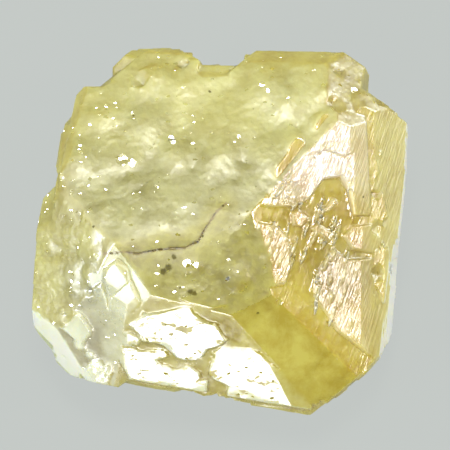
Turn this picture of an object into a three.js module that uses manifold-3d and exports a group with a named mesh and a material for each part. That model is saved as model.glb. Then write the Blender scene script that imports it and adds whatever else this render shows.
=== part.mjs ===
/*
 * Rough diamond: one natural crystal, a flattened and stepped octahedron with resorbed, terraced
 * faces, about 6.7 mm across and 1.74 carats.
 *
 * The crystal is laid out looking down its four-fold axis: a runs to the right, b runs up across
 * the crystal, and c runs along the axis, out of the near tip. It is then tipped over until it lies
 * on its cleavage face, with +Z up and the origin under the middle of its box. Millimetres.
 */
import * as THREE from "three";
import { ConvexGeometry } from "three/addons/geometries/ConvexGeometry.js";
import { mergeVertices } from "three/addons/utils/BufferGeometryUtils.js";
import Module from "manifold-3d";

const wasm = await Module();
wasm.setup();

// ---- Driving dimensions, millimetres and degrees ----

const TIP = [0.51, 0.3, 1.99]; // where the crown, the centre and the right face meet
const THICKNESS = 3.75; // from the crown down to the cleavage face it rests on
const LEAN = 25; // how far the four-fold axis leans from upright when the crystal lies down

const ROOT = 0.3; // how deep a terrace, a mound or a ridge is rooted in what it stands on
const RISER = 0.4; // how far a terrace's riser leans back, for each unit that it rises
const NESTED = 0.74; // how much smaller each terrace is than the one that it stands on
const OFF_CENTRE = 0.3; // how far a stacked terrace lies off the middle of the one below it
const MOUND_HEIGHT = [0.35, 0.6]; // for each unit of its radius, most of it under the face
const SUNK = 0.62; // how far a mound's middle lies under the face, for each unit of its height
const SLIVER = { length: [0.12, 0.34], width: [0.03, 0.055], height: [0.02, 0.04], turn: 4 };
const CRACK = { width: 0.03, depth: 0.08 };
const TRIGON_DEPTH = 0.28; // an etch pit's depth, for each unit of its radius
const SMOOTHER = 0.33; // mounds wider than this have finer facets
const BREAK = 0.05; // how high the steps on the cleavage face are

const FAR = 20; // beyond any part of the crystal
const CLEAR = 1; // how far a terrace may stand out before the faces beside it stop trimming it
const SAME_POINT = 1e-5; // corners closer than this are one corner
const GRID = 1e-3; // the finished crystal's corners lie on a grid as fine as this
const NEAR = 0.05; // a mound or ridge may be this far past the edge of its face
const EDGE_SHARE = 0.45; // how much of what is near a point is inside, at an edge, at the most
const MOST_TRIES = 500; // draws before a field is taken to be off the crystal
const FLATNESS = 0.005; // bends smaller than this are left out of the faces
const SEED = 11; // the random draws below follow from it, so the crystal is always the same

// ---- Face directions, in the layout's (a, b, c) ----

const direction = (a, b, c) => new THREE.Vector3(a, b, c).normalize();
const leanAngle = THREE.MathUtils.degToRad(LEAN);
const UPRIGHT = direction(0, Math.sin(leanAngle), Math.cos(leanAngle)); // up, once it lies down

const FACES = {
  crown: direction(-0.05, 0.572, 1), // the broad pebbled face above the tip
  centre: direction(0.095, -0.073, 1), // the gently sloped middle
  amber: direction(0.22, -0.33, 1), // the smooth bevel down to the lower right corner
  bright: direction(-0.03, -0.56, 1), // the flaked face along the bottom
  stepped: direction(-0.27, -0.326, 1), // the small face with parallel steps
  left: direction(-0.795, -0.064, 1),
  lowerLeft: direction(-0.39, -0.5, 1),
  lobe: direction(-0.8, -0.62, 0.5), // the steep corner below it
  right: direction(0.588, 0.052, 1), // the striated face right of the tip
  side: direction(0.95, 0.05, 1), // beyond the sharp ridge on the right
  shoulder: direction(0.62, 0.5, 0.8),
  topRim: direction(0, 0.86, 0.5),
  leftRim: direction(-0.72, 0.5, 0.55),
  east: direction(1, -0.085, 0.2), // the steep polished band on the right
  northEast: direction(0.53, 0.84, -0.12),
  north: direction(0.02, 1, -0.12),
  northWest: direction(-0.69, 0.72, -0.12),
  west: direction(-1, 0.09, -0.14),
  southWest: direction(-0.72, -0.69, 0.1),
  south: direction(-0.17, -0.98, -0.06),
  southEast: direction(0.64, -0.77, -0.1),
  eastUnder: direction(0.9, -0.05, -0.52), // the undercut faces, hidden from the near tip
  westUnder: direction(-0.86, 0.02, -0.58),
  southUnder: direction(-0.05, -0.86, -0.5),
  northUnder: direction(0.05, 0.72, -0.72),
  cleavage: UPRIGHT.clone().negate(),
};

const CLEAVAGE_POINT = new THREE.Vector3(...TIP).addScaledVector(UPRIGHT, -THICKNESS).toArray();

// ---- Growth blocks ----

// The main body: every face of the crystal, and a point that it passes through.
const BODY = {
  crown: TIP,
  centre: TIP,
  right: TIP,
  amber: [0.86, -1.6, 1.7],
  bright: [-0.28, -1.63, 1.79],
  stepped: [-1.4, -1.0, 2.03],
  left: [-2.33, -1.21, 1.71],
  lowerLeft: [-2.07, -1.53, 1.64],
  lobe: [-2.74, -1.82, 1.27],
  side: [2.37, 0.3, 1.0],
  shoulder: [2.75, 2.1, 0.45],
  topRim: [0, 2.75, 0.55],
  leftRim: [-2.5, 1.8, 0.85],
  east: [3.0, 0, 0.45],
  northEast: [2.79, 2.17, 0.2],
  north: [0, 2.81, 0.1],
  northWest: [-2.15, 2.33, 0.3],
  west: [-2.66, 1.3, 0.3],
  southWest: [-2.85, -2.15, 0.4],
  south: [0.6, -2.95, 0.9],
  southEast: [2.28, -2.58, 0.6],
  eastUnder: [3.05, 0, -0.5],
  westUnder: [-2.9, 0, -0.5],
  southUnder: [0, -2.9, 0.3],
  northUnder: [0, 2.75, -1.9],
  cleavage: CLEAVAGE_POINT,
};

// The blocks that grew beside it, each by the faces that it doesn't share with the body.
const BLOCKS = [
  BODY,
  {
    ...BODY, // the knob at the top left
    crown: [0, 2.0, 0.9],
    topRim: [-1.1, 3.03, 0.45],
    north: [-1.1, 3.13, 0.2],
    east: [-0.3, 2.9, 0.2],
    northEast: [-0.62, 3.05, 0.2],
    northWest: [-1.57, 2.87, 0.2],
  },
  {
    ...BODY, // the block at the top right
    crown: [0, 2.0, 0.93],
    topRim: [1.4, 3.02, 0.42],
    north: [1.4, 3.1, 0.2],
    east: [2.5, 2.6, 0.2],
    northEast: [2.38, 2.93, 0.2],
    northWest: [0.5, 3.0, 0.2],
    west: [0.2, 2.8, 0.2],
    eastUnder: [2.6, 2.4, -0.3],
    northUnder: [1.4, 3.05, -0.5],
  },
  {
    ...BODY, // the step at the upper left corner
    crown: [0, 2.0, 0.9],
    north: [-2.2, 2.43, 0.2],
    west: [-2.5, 2.1, 0.2],
    northWest: [-2.46, 2.34, 0.2],
    leftRim: [-2.45, 2.2, 0.75],
  },
  {
    ...BODY, // the block at the lower left
    crown: [0, 0, 1.95],
    leftRim: [-2.95, 0.5, 1.0],
    north: [-3.0, 0.68, 0.4],
    northWest: [-2.95, 0.6, 0.4],
    west: [-3.12, -0.6, 0.3],
    westUnder: [-3.12, 0, -0.1],
    northUnder: [-3.0, 0.6, -1.1],
    south: [-2.2, -2.62, 0.5],
    southEast: [-1.84, -2.7, 0.4],
  },
  {
    ...BODY, // the shelf under the right side
    crown: [0, 0, 0.6],
    centre: [0, 0, 0.35],
    east: [2.98, 0, 0.2],
    northEast: [2.7, 2.0, -0.4],
    southEast: [2.7, -1.9, -0.2],
    eastUnder: [3.1, 0, -0.9],
  },
];

// ---- Relief on the faces ----

// Terraces: the face, how high the lowest stands (on), how much each one rises, how many are
// stacked (one where levels is left out), how many degrees they tip about the face's own x and y,
// and the outline. An outline is given in the two axes that the face looks along least: (a, b) on
// the upper faces, (b, c) or (a, c) on the sides.
const TERRACES = [
  ["crown", { rise: 0.06 }, [[-2.9, 1.7], [-2.5, 2.6], [-1.3, 3.3], [2.3, 3.3], [2.2, 2.4],
    [1.47, 1.95], [1.04, 1.53], [0.72, 1.21], [0.33, 1.42], [-0.28, 1.35], [-0.61, 1.16],
    [-1.0, 1.42], [-1.23, 1.4], [-1.4, 1.04], [-1.95, 0.97], [-2.21, 0.84], [-2.9, 0.9]]],
  ["crown", { on: 0.06, rise: 0.02 }, [[-1.95, 2.0], [-1.25, 2.45], [-0.37, 2.35],
    [0.19, 2.09], [-0.28, 1.7], [-0.89, 1.88], [-1.11, 1.6], [-1.32, 1.21], [-1.56, 1.04],
    [-1.9, 1.15]]],
  ["crown", { on: 0.06, rise: 0.03 }, [[0.6, 3.3], [0.72, 2.3], [1.39, 2.12], [1.91, 2.3],
    [2.3, 3.3]]],
  ["crown", { on: 0.06, rise: 0.03 }, [[-0.11, 2.05], [0.51, 2.24], [0.95, 2.0], [0.72, 1.56],
    [0.19, 1.55]]],
  ["crown", { rise: 0.04 }, [[-1.3, 0.8], [-0.28, 0.92], [0.25, 0.68], [-0.09, 0.4],
    [-0.7, 0.3], [-1.25, -0.05], [-1.7, 0.12], [-1.5, 0.55]]],
  ["crown", { rise: 0.04 }, [[0.2, 1.2], [0.62, 1.05], [0.95, 1.4], [1.2, 1.5], [0.75, 0.75],
    [0.4, 0.6]]],
  ["bright", { rise: 0.045, tip: [-4.5, 0] }, [[-1.58, -1.65], [-1.47, -1.56], [-1.3, -1.46],
    [-1.09, -1.42], [-0.96, -1.39], [-0.81, -1.35], [-0.63, -1.32], [-0.51, -1.33],
    [-0.46, -1.42], [-0.32, -1.53], [-0.23, -1.58], [-0.09, -1.61], [-0.02, -1.72],
    [0.04, -1.81], [0.12, -1.89], [0.02, -1.98], [-0.12, -2.02], [-0.23, -2.05],
    [-0.32, -2.18], [-0.42, -2.23], [-0.65, -2.23], [-0.77, -2.18], [-0.86, -2.09],
    [-0.96, -2.0], [-1.05, -1.96], [-1.37, -1.91], [-1.42, -1.79]]],
  ["bright", { rise: 0.03, tip: [-4.5, 1] }, [[-1.81, -1.89], [-1.7, -1.79], [-1.61, -1.75],
    [-1.53, -1.79], [-1.4, -1.86], [-1.39, -1.95], [-1.44, -2.0], [-1.65, -2.0]]],
  ["bright", { rise: 0.03, tip: [-4.5, 1] }, [[-1.81, -2.05], [-1.7, -2.02], [-1.49, -2.02],
    [-1.37, -2.09], [-1.25, -2.07], [-1.05, -2.05], [-0.95, -2.09], [-0.88, -2.18],
    [-0.96, -2.23], [-1.11, -2.25], [-1.02, -2.32], [-0.89, -2.35], [-0.81, -2.42],
    [-0.7, -2.39], [-0.61, -2.33], [-0.53, -2.35], [-0.37, -2.46], [-0.35, -2.56],
    [-0.23, -2.6], [-0.25, -3.1], [-1.54, -3.1], [-1.6, -2.53], [-1.7, -2.35],
    [-1.74, -2.23]]],
  ["bright", { rise: 0.035, tip: [-4.5, 0] }, [[-0.16, -2.12], [-0.07, -2.07], [0.02, -2.0],
    [0.14, -1.89], [0.25, -1.83], [0.36, -1.85], [0.43, -1.95], [0.5, -2.03],
    [0.6, -2.08], [0.72, -2.16], [0.8, -2.26], [0.95, -2.38], [1.07, -2.45],
    [1.16, -2.56], [1.31, -2.7], [1.43, -2.78], [1.5, -2.92], [1.7, -3.3],
    [0.12, -3.3], [0.11, -2.79], [0.14, -2.7], [0, -2.63], [-0.12, -2.58],
    [-0.21, -2.47], [-0.18, -2.32], [-0.12, -2.21]]],
  ["lowerLeft", { rise: 0.05, tip: [-3, 8] }, [[-2.47, -2.51], [-2.4, -2.4], [-2.3, -2.37],
    [-2.23, -2.26], [-2.07, -2.23], [-2.0, -2.32], [-1.91, -2.28], [-1.81, -2.3],
    [-1.84, -2.49], [-1.91, -2.6], [-1.95, -2.95], [-2.47, -2.95]]],
  ["stepped", { rise: 0.08 }, [[-2.0, -0.68], [-1.77, -0.51], [-1.58, -0.68], [-1.53, -0.89],
    [-1.91, -1.21], [-2.0, -0.89]]],
  ["stepped", { rise: 0.055 }, [[-1.91, -1.19], [-1.53, -0.87], [-1.35, -1.26], [-1.77, -1.54],
    [-1.91, -1.44]]],
  ["stepped", { rise: 0.035 }, [[-1.8, -1.52], [-1.35, -1.22], [-1.23, -1.33], [-1.6, -1.65]]],
  ["stepped", { rise: 0.018 }, [[-1.62, -1.63], [-1.23, -1.31], [-1.12, -1.44], [-1.46, -1.72]]],
  ["stepped", { rise: 0.05 }, [[-2.42, -1.16], [-2.18, -1.0], [-2.03, -0.89], [-1.94, -1.2],
    [-1.94, -1.58], [-2.12, -1.42]]],
  ["right", { rise: 0.07, tip: [0, -3] }, [[0.63, 0.37], [0.72, 0.68], [1.16, 1.21],
    [1.05, 1.39], [1.6, 2.0], [1.84, 2.05], [2.5, 1.98], [2.6, 0.25], [2.27, 0.23],
    [2.18, 0.68], [2.05, 0.9], [1.75, 0.85], [1.49, 0.49], [1.21, 0.37]]],
  ["right", { on: 0.07, rise: 0.035, tip: [0, -4] }, [[1.1, 1.39], [1.6, 1.98], [2.5, 1.95],
    [2.45, 1.39], [2.09, 1.25], [1.72, 1.36], [1.44, 1.25]]],
  ["right", { rise: 0.05, tip: [1, -4] }, [[0.65, 0.12], [0.95, 0.05], [1.14, -0.16], [1.19, -0.63],
    [1.09, -0.95], [0.82, -1.0], [0.49, -0.54], [0.54, -0.16]]],
  ["right", { rise: 0.055, tip: [0, -3.5] }, [[1.93, -0.32], [2.18, -0.52], [2.7, -0.5], [2.9, -1.4],
    [2.6, -2.2], [2.0, -1.77], [1.53, -1.07], [1.65, -0.72]]],
  ["right", { rise: 0.06, tip: [-2, -5] }, [[2.09, -0.11], [2.26, 0.05], [2.7, 0.1], [2.7, -0.42],
    [2.26, -0.37]]],
  ["right", { rise: 0.05, tip: [2, -4] }, [[1.2, 0.27], [1.33, 0.35], [1.49, 0.18], [1.38, 0.03],
    [1.24, 0.06]]],
  ["right", { rise: 0.05, tip: [-2, -4] }, [[1.7, 0.27], [1.93, 0.54], [2.02, 0.46], [1.86, 0.3]]],
  ["right", { rise: 0.04 }, [[1.63, 0.09], [1.96, -0.08], [1.88, -0.22], [1.54, 0.0]]],
  ["centre", { rise: 0.05, tip: [-10, 0] }, [[-0.7, -0.5], [-0.36, -0.45], [-0.3, -0.68], [-0.6, -0.76]]],
  ["centre", { rise: 0.03 }, [[-0.2, -0.1], [0.4, 0.1], [0.38, -0.5], [0.1, -0.9],
    [-0.15, -0.6]]],
  ["centre", { rise: 0.025 }, [[-0.75, -0.95], [-0.2, -1.0], [0.1, -1.3], [-0.3, -1.4],
    [-0.7, -1.2]]],
  ["left", { rise: 0.05 }, [[-3.4, 0.45], [-2.6, 0.6], [-2.4, 0.15], [-2.55, -0.3],
    [-3.4, -0.2]]],
  ["left", { rise: 0.04 }, [[-3.4, -0.5], [-2.6, -0.45], [-2.35, -0.55], [-2.5, -0.95],
    [-3.4, -1.1]]],
  ["left", { rise: 0.04 }, [[-2.3, 0.55], [-2.05, 0.4], [-2.1, -0.2], [-2.35, -0.3],
    [-2.4, 0.1]]],
  ["lowerLeft", { rise: 0.05 }, [[-2.72, -1.35], [-2.4, -1.45], [-2.2, -1.75], [-2.4, -2.0],
    [-2.75, -1.7]]],
  ["side", { rise: 0.06 }, [[2.42, 1.55], [2.65, 1.4], [2.75, 1.0], [2.6, 0.68],
    [2.42, 0.8]]],
  ["side", { rise: 0.06 }, [[2.45, 0.55], [2.8, 0.65], [2.9, 0.2], [2.6, 0.0], [2.45, 0.1]]],
  ["side", { rise: 0.05 }, [[2.6, -0.4], [2.9, -0.3], [3.0, -1.2], [2.8, -1.3],
    [2.65, -0.9]]],
  ["shoulder", { rise: 0.06 }, [[2.4, 2.6], [2.9, 2.4], [3.1, 1.9], [2.75, 1.55],
    [2.5, 1.9]]],
  ["east", { rise: 0.025, levels: 3 }, [[1.7, 0.7], [0.4, 0.9], [-0.6, 0.6], [-0.5, -0.2],
    [1.0, -0.4], [1.9, 0]]],
  ["east", { rise: 0.025, levels: 2 }, [[-0.7, 0.7], [-1.9, 0.6], [-2.3, 0.0], [-1.0, -0.3]]],
  ["west", { rise: 0.04, levels: 2 }, [[1.8, 0.9], [1.0, 1.2], [0.7, 0.2], [1.3, -0.4],
    [2.0, 0.1]]],
  ["west", { on: 0.24, rise: 0.03, levels: 3 }, [[0.4, 0.7], [-0.9, 0.9], [-1.9, 0.4],
    [-1.6, -0.5], [0.2, -0.4]]],
  ["north", { rise: 0.03, levels: 2 }, [[-0.5, 0.2], [0.4, 0.2], [0.5, -0.9], [-0.3, -1.4],
    [-0.6, -0.6]]],
  ["north", { on: 0.26, rise: 0.035, levels: 3 }, [[-1.9, 0.0], [-1.0, 0.3], [-0.5, 0.1],
    [-0.5, -0.8], [-1.1, -1.3], [-1.9, -1.0]]],
  ["north", { on: 0.24, rise: 0.03, levels: 4 }, [[0.4, 0.1], [1.3, 0.3], [2.4, 0.0],
    [2.3, -0.9], [1.3, -1.4], [0.5, -0.9]]],
  ["northEast", { rise: 0.03, levels: 2 }, [[3.1, 0.3], [2.3, 0.5], [1.9, 0.1], [2.1, -0.8],
    [2.9, -0.7]]],
  ["northWest", { rise: 0.03, levels: 3 }, [[-2.7, 0.4], [-2.1, 0.6], [-1.5, 0.2],
    [-1.8, -0.8], [-2.6, -0.6]]],
  ["south", { rise: 0.035, levels: 3 }, [[-2.5, 0.9], [-1.4, 1.3], [-0.5, 1.2], [-0.3, 0.5],
    [-1.3, 0.2], [-2.3, 0.3]]],
  ["south", { rise: 0.035, levels: 3 }, [[-0.1, 1.2], [1.2, 1.3], [2.0, 0.9], [1.5, 0.3],
    [0.2, 0.4]]],
  ["southWest", { rise: 0.06, levels: 2 }, [[-2.0, 0.9], [-2.5, 0.9], [-2.8, 0.2],
    [-2.2, -0.2]]],
  ["southEast", { rise: 0.04, levels: 2 }, [[1.8, 0.9], [2.5, 1.0], [2.9, 0.4], [2.4, -0.3],
    [1.9, 0.1]]],
  ["southUnder", { rise: 0.07, levels: 3 }, [[-2.4, 0.2], [-0.9, 0.4], [0.8, 0.3],
    [1.5, -0.3], [0.2, -0.9], [-1.8, -0.7]]],
  ["eastUnder", { rise: 0.07, levels: 3 }, [[2.0, -0.7], [0.5, -0.5], [-1.0, -0.6],
    [-1.4, -1.2], [0.6, -1.7], [2.0, -1.4]]],
  ["westUnder", { rise: 0.07, levels: 3 }, [[1.6, -0.8], [0.4, -0.5], [-1.3, -0.6],
    [-1.6, -1.2], [0.3, -1.8], [1.8, -1.6]]],
  ["northUnder", { rise: 0.07, levels: 3 }, [[-1.8, -1.4], [0.2, -1.1], [1.9, -1.4],
    [1.7, -2.2], [-1.4, -2.3]]],
];

// Mounds that resorption left: the face, the height that they stand on, the field that they
// cover, how many, and how wide they are.
const MOUNDS = [
  ["crown", 0.06, { from: [-2.6, 1.0], to: [2.1, 2.8] }, 36, [0.24, 0.6]],
  ["crown", 0.04, { from: [-2.0, 0.1], to: [0.4, 1.1] }, 16, [0.16, 0.36]],
  ["left", 0.03, { from: [-3.0, -1.2], to: [-2.1, 0.6] }, 14, [0.16, 0.36]],
  ["lowerLeft", 0.0, { from: [-2.8, -2.2], to: [-2.1, -1.6] }, 6, [0.16, 0.3]],
  ["centre", 0.0, { from: [-1.3, -1.2], to: [0.3, 0.0] }, 9, [0.18, 0.4]],
  ["shoulder", 0.02, { from: [2.4, 1.6], to: [3.1, 2.5] }, 8, [0.16, 0.34]],
  ["side", 0.0, { from: [2.4, -1.4], to: [2.9, 1.4] }, 10, [0.1, 0.22]],
  ["topRim", 0.16, { from: [-1.7, 0.2], to: [2.3, 0.8] }, 18, [0.18, 0.42]],
  ["crown", 0.1, { from: [0.5, 2.1], to: [2.3, 3.0] }, 14, [0.2, 0.5]],
  ["leftRim", 0.0, { from: [1.1, 0.4], to: [2.1, 1.1] }, 6, [0.2, 0.4]],
  ["west", 0.0, { from: [-2.0, -0.5], to: [1.8, 0.9] }, 8, [0.2, 0.45]],
  ["north", 0.02, { from: [-2.0, -1.3], to: [2.2, 0.3] }, 12, [0.2, 0.45]],
  ["northWest", 0.0, { from: [-2.6, -1.2], to: [-1.8, 0.5] }, 6, [0.2, 0.4]],
  ["south", 0.0, { from: [-2.4, 0.3], to: [2.0, 1.1] }, 8, [0.2, 0.4]],
];

// Striations: the face, the height that they stand on, the field that they cover, how many, and
// which way they run, in degrees from +a towards +b.
const STRIATIONS = [
  ["right", 0.05, { from: [0.7, 0.4], to: [1.6, 1.5] }, 22, 52],
  ["right", 0.1, { from: [1.35, 1.35], to: [2.3, 1.9] }, 12, 55],
  ["right", 0.08, { from: [2.1, 0.4], to: [2.4, 1.2] }, 8, 80],
  ["right", 0.045, { from: [0.55, -0.9], to: [1.15, 0.0] }, 18, 76],
  ["right", 0.045, { from: [1.6, -1.7], to: [2.65, -0.4] }, 34, 72],
  ["right", 0.02, { from: [1.0, -0.6], to: [2.0, 0.4] }, 16, 67],
  ["side", 0.03, { from: [2.5, -1.8], to: [2.9, 0.6] }, 12, 78],
  ["east", 0.03, { from: [-2.0, 0.0], to: [1.7, 0.6] }, 8, 4],
];

// The crack across the middle, drawn along the upper faces.
const CRACK_PATH = [[-2.0, -0.42], [-1.68, -0.39], [-1.4, -0.42], [-1.07, -0.35], [-0.61, -0.32],
  [-0.39, -0.21], [-0.26, 0.02], [-0.07, 0.3], [0.09, 0.44]];

// Triangular etch pits: the face, the height that they are sunk from, the field that they cover,
// how many, and how wide they are.
const TRIGONS = [
  ["bright", 0.1, { from: [-1.6, -2.8], to: [1.0, -1.6] }, 12, [0.03, 0.07]],
  ["centre", 0.0, { from: [-1.2, -1.2], to: [0.4, 0.1] }, 6, [0.04, 0.08]],
  ["crown", 0.06, { from: [-2.0, 1.2], to: [2.0, 2.5] }, 10, [0.05, 0.1]],
];

// Places where the crystal is broken away: the middle of the break and its radius.
const BREAKS = [
  [[2.08, 2.25, 1.02], 0.24], // the notch at the top of the sharp ridge
  [[-1.44, 2.67, 0.76], 0.2], // the hollow in the top left knob
  [[2.3, -2.75, 0.8], 0.17], // the lower right corner
  [[2.05, -2.7, 1.2], 0.1],
  [[-2.08, 1.0, 1.65], 0.12], // under the upper terrace
  [[-1.0, 1.45, 1.45], 0.14],
  [[-2.85, 0.78, 0.5], 0.15], // the step on the left
  [[-0.62, -3.02, 1.1], 0.08],
  [[-1.78, -2.82, 1.0], 0.09],
];
const EDGE_CHIPS = 120; // small chips drawn over all the blocks' edges, inner ones included
const CHIP_RADIUS = [0.1, 0.24];
const CHIP_OUT = 0.72; // how far a chip's middle lies outside the edge, for each unit of radius

// Steps where layers broke off the cleavage face, in (a, b).
const CLEAVAGE_STEPS = [
  [[-3.5, -3.5], [-1.9, -3.5], [-1.5, -1.6], [-2.2, -0.9], [-3.5, -0.7]],
  [[3.5, 3.5], [1.3, 3.5], [1.1, 1.9], [1.9, 1.0], [3.5, 0.8]],
];

// ---- Solids ----

/** A closed three.js geometry as a solid. */
function solidOf(geometry) {
  const plain = geometry.index ? geometry.toNonIndexed() : geometry.clone();
  plain.deleteAttribute("normal");
  plain.deleteAttribute("uv");
  const merged = mergeVertices(plain, SAME_POINT);
  return new wasm.Manifold(
    new wasm.Mesh({
      numProp: 3,
      vertProperties: merged.attributes.position.array,
      triVerts: new Uint32Array(merged.index.array),
    }),
  );
}

/** A solid as a three.js geometry. */
function geometryOf(solid) {
  const made = solid.getMesh();
  const positions = new Float32Array(made.numVert * 3);
  for (let i = 0; i < made.numVert; i++) {
    positions.set(made.vertProperties.subarray(i * made.numProp, i * made.numProp + 3), i * 3);
  }
  return new THREE.BufferGeometry()
    .setAttribute("position", new THREE.BufferAttribute(positions, 3))
    .setIndex(new THREE.BufferAttribute(made.triVerts, 1));
}

const joined = (solids) => solids.reduce((whole, solid) => whole.add(solid));

/** Seeded draws from 0 to 1, the same on every run. */
function drawsFrom(seed) {
  let state = seed;
  return () => {
    state = (state * 1664525 + 1013904223) % 4294967296;
    return state / 4294967296;
  };
}

const draw = drawsFrom(SEED);
const between = (low, high) => low + (high - low) * draw();

/** The plane of a face of a block. */
function planeOf(block, face) {
  return new THREE.Plane().setFromNormalAndCoplanarPoint(
    FACES[face],
    new THREE.Vector3(...block[face]),
  );
}

/** The corners of a block, each with the two or more faces that meet there. */
function cornersOf(block) {
  const planes = Object.keys(block).map((face) => planeOf(block, face));
  const corners = [];
  planes.forEach((one, i) => {
    planes.slice(i + 1).forEach((two, j) => {
      planes.slice(i + j + 2).forEach((three) => {
        const normals = new THREE.Matrix3().set(
          ...one.normal.toArray(),
          ...two.normal.toArray(),
          ...three.normal.toArray(),
        );
        if (Math.abs(normals.determinant()) < SAME_POINT) return;
        const reach = new THREE.Vector3(-one.constant, -two.constant, -three.constant);
        const corner = reach.applyMatrix3(normals.invert());
        if (planes.some((plane) => plane.distanceToPoint(corner) > SAME_POINT)) return;
        corners.push({ corner, planes: [one, two, three] });
      });
    });
  });
  return corners;
}

const blockSolid = (block) =>
  solidOf(new ConvexGeometry(cornersOf(block).map(({ corner }) => corner)));

/** The straight edges of a block, as pairs of ends. */
function edgesOf(block) {
  const corners = cornersOf(block);
  const edges = [];
  corners.forEach((one, i) => {
    corners.slice(i + 1).forEach((two) => {
      const shared = one.planes.filter((plane) => two.planes.includes(plane));
      const apart = one.corner.distanceTo(two.corner) > SAME_POINT;
      if (shared.length === 2 && apart) edges.push([one.corner, two.corner]);
    });
  });
  return edges;
}

// ---- Places on the faces ----

/** The point of a face of the body with two of its layout coordinates given. */
function pointOn(face, [first, second]) {
  const { normal, constant } = planeOf(BODY, face);
  const [na, nb, nc] = normal.toArray();
  const steepest = Math.max(Math.abs(na), Math.abs(nb), Math.abs(nc));
  if (steepest === Math.abs(nc)) {
    return new THREE.Vector3(first, second, -(constant + na * first + nb * second) / nc);
  }
  if (steepest === Math.abs(na)) {
    return new THREE.Vector3(-(constant + nb * first + nc * second) / na, first, second);
  }
  return new THREE.Vector3(first, -(constant + na * first + nc * second) / nb, second);
}

/** Whether a point is inside any of the blocks, or within a distance outside it. */
function isInside(point, distance) {
  return BLOCKS.some((block) =>
    Object.keys(block).every((face) => planeOf(block, face).distanceToPoint(point) < distance),
  );
}

/** Whether a point is on an edge of the crystal: on a flat face half of what is near is inside. */
function isOnEdge(point) {
  const { array } = new THREE.IcosahedronGeometry(NEAR, 0).translate(...point.toArray())
    .attributes.position;
  const around = Array.from({ length: array.length / 3 }, (_, i) =>
    new THREE.Vector3().fromArray(array, i * 3),
  );
  return around.filter((near) => isInside(near, 0)).length < around.length * EDGE_SHARE;
}

/** A random point of a face, inside a field of it and on the crystal. */
function somewhereOn(face, { from, to }) {
  for (let tries = 0; tries < MOST_TRIES; tries++) {
    const point = pointOn(face, [between(from[0], to[0]), between(from[1], to[1])]);
    if (isInside(point, NEAR)) return point;
  }
  throw new Error(`the field on ${face} is off the crystal`);
}

/** The frame of a face: z out of the face, x along it towards +a, or +b on the side faces. */
function frameOf(face, origin) {
  const out = FACES[face];
  const along = Math.abs(out.x) > Math.SQRT1_2 ? direction(0, 1, 0) : direction(1, 0, 0);
  const across = new THREE.Vector3().crossVectors(out, along).normalize();
  along.crossVectors(across, out);
  return new THREE.Matrix4().makeBasis(along, across, out).setPosition(origin);
}

/** A solid made in a face's frame, brought to its place on the crystal. */
function placedOn(face, origin, geometry) {
  return solidOf(geometry.applyMatrix4(frameOf(face, origin)));
}

/** What the faces beside a terrace leave of it: the blocks with its own face moved out. */
const limits = new Map();
function limitOf(face) {
  if (!limits.has(face)) {
    const movedOut = (block) =>
      new THREE.Vector3(...block[face]).addScaledVector(FACES[face], CLEAR).toArray();
    const blocks = BLOCKS.map((block) => blockSolid({ ...block, [face]: movedOut(block) }));
    limits.set(face, joined(blocks));
  }
  return limits.get(face);
}

// ---- Relief ----

/** Tips a terrace over by two small angles about the middle of its outline. */
function tipAbout(geometry, flat, [aboutX, aboutY]) {
  const middle = flat.reduce((sum, point) => sum.add(point), new THREE.Vector2());
  middle.divideScalar(flat.length);
  geometry.translate(-middle.x, -middle.y, 0);
  geometry.rotateX(THREE.MathUtils.degToRad(aboutX));
  geometry.rotateY(THREE.MathUtils.degToRad(aboutY));
  geometry.translate(middle.x, middle.y, 0);
}

/** A stack of flat outlines on a face, each smaller and higher than the one below it. */
function terraces([face, { on = 0, rise, levels = 1, tip = [0, 0] }, outline]) {
  const points = outline.map((pair) => pointOn(face, pair));
  const middle = points.reduce((sum, point) => sum.add(point), new THREE.Vector3());
  middle.divideScalar(points.length);
  return Array.from({ length: levels }, (_, level) => {
    const heart = middle.clone().lerp(points[level % points.length], OFF_CENTRE);
    const shrunk = points.map((point) => heart.clone().lerp(point, NESTED ** level));
    return terrace(face, on + rise * (level + 1), rise, tip, shrunk);
  });
}

/** One outline on a face, its top at a height, with a leaning riser and its root below it. */
function terrace(face, top, rise, tip, points) {
  const toFace = frameOf(face, points[0]).invert();
  const flat = points.map((point) => {
    const local = point.clone().applyMatrix4(toFace);
    return new THREE.Vector2(local.x, local.y);
  });
  const geometry = new THREE.ExtrudeGeometry(new THREE.Shape(flat), {
    depth: top - rise + ROOT,
    bevelThickness: rise,
    bevelSize: rise * RISER,
    bevelOffset: -rise * RISER,
    bevelSegments: 1,
  });
  geometry.translate(0, 0, -ROOT);
  tipAbout(geometry, flat, tip);
  return placedOn(face, points[0], geometry).intersect(limitOf(face));
}

/** Low, irregular mounds scattered over a field of a face. */
function mounds([face, on, field, count, [narrow, wide]]) {
  const scattered = Array.from({ length: count }, () => {
    const radius = between(narrow, wide);
    const geometry = new THREE.IcosahedronGeometry(1, radius > SMOOTHER ? 1 : 0);
    geometry.rotateX(between(0, Math.PI)).rotateZ(between(0, Math.PI));
    const height = radius * between(...MOUND_HEIGHT);
    geometry.scale(radius, radius * between(0.6, 1), height);
    geometry.rotateZ(between(0, Math.PI)).translate(0, 0, on - height * SUNK);
    return placedOn(face, somewhereOn(face, field), geometry);
  });
  return joined(scattered).intersect(limitOf(face));
}

/** Long slivers that lie side by side on a face. */
function striations([face, on, field, count, angle]) {
  const slivers = Array.from({ length: count }, () => {
    const geometry = new THREE.OctahedronGeometry(1);
    geometry.scale(between(...SLIVER.length), between(...SLIVER.width), between(...SLIVER.height));
    geometry.rotateZ(THREE.MathUtils.degToRad(angle + between(-SLIVER.turn, SLIVER.turn)));
    geometry.translate(0, 0, on);
    return placedOn(face, somewhereOn(face, field), geometry);
  });
  return joined(slivers).intersect(limitOf(face));
}

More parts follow.
